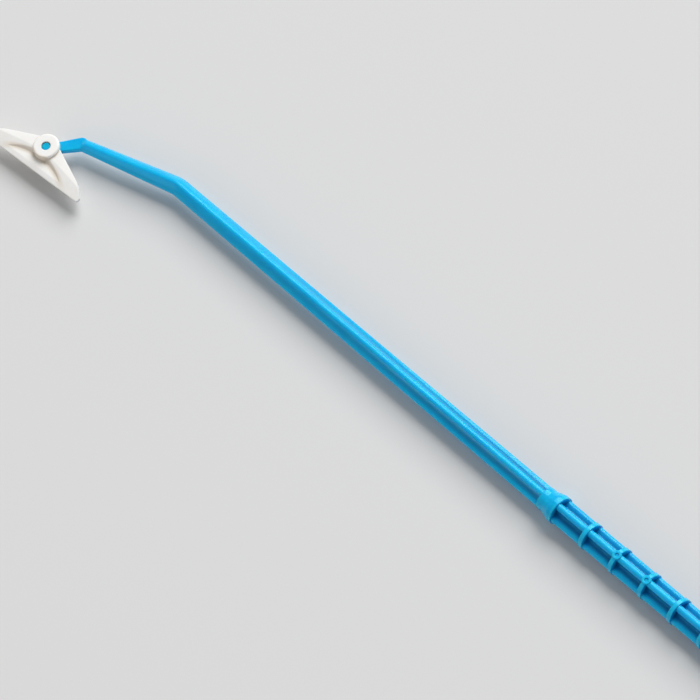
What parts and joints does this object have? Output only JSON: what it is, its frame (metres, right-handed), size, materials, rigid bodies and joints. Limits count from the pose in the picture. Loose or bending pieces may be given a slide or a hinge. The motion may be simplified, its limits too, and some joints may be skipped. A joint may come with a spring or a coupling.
{
  "type": "cell scraper",
  "caption": "Cell scraper: ribbed plastic grip, long tapering shaft bent towards a small swivel head, and a wide fan-shaped soft plastic blade with a bevelled scraping edge.",
  "frame": {"origin": "on the grip's axis at its butt end, where the butt's cylindrical wall starts", "axes": "+X along the grip and shaft towards the head, +Y the side that neck and tip bend towards, +Z along the blade's swivel axis, square to the plane of the bends"},
  "size_m": [0.2895, 0.0225, 0.0068],
  "materials": {
    "handle_plastic": "smooth moulded cyan-blue plastic, glossy, slightly translucent at thin edges",
    "blade_plastic": "natural white soft polyethylene, satin, slightly translucent"
  },
  "bodies": {
    "handle": {"handle": "handle_plastic"},
    "blade": {"blade": "blade_plastic"}
  },
  "joints": [
    {"name": "blade_swivel", "type": "hinge", "parent": "handle", "child": "blade", "pos_m": [0.27485, 0.01255, 0], "axis": [0, 0, 1], "range_deg": [-109.8, 20.2]}
  ]
}
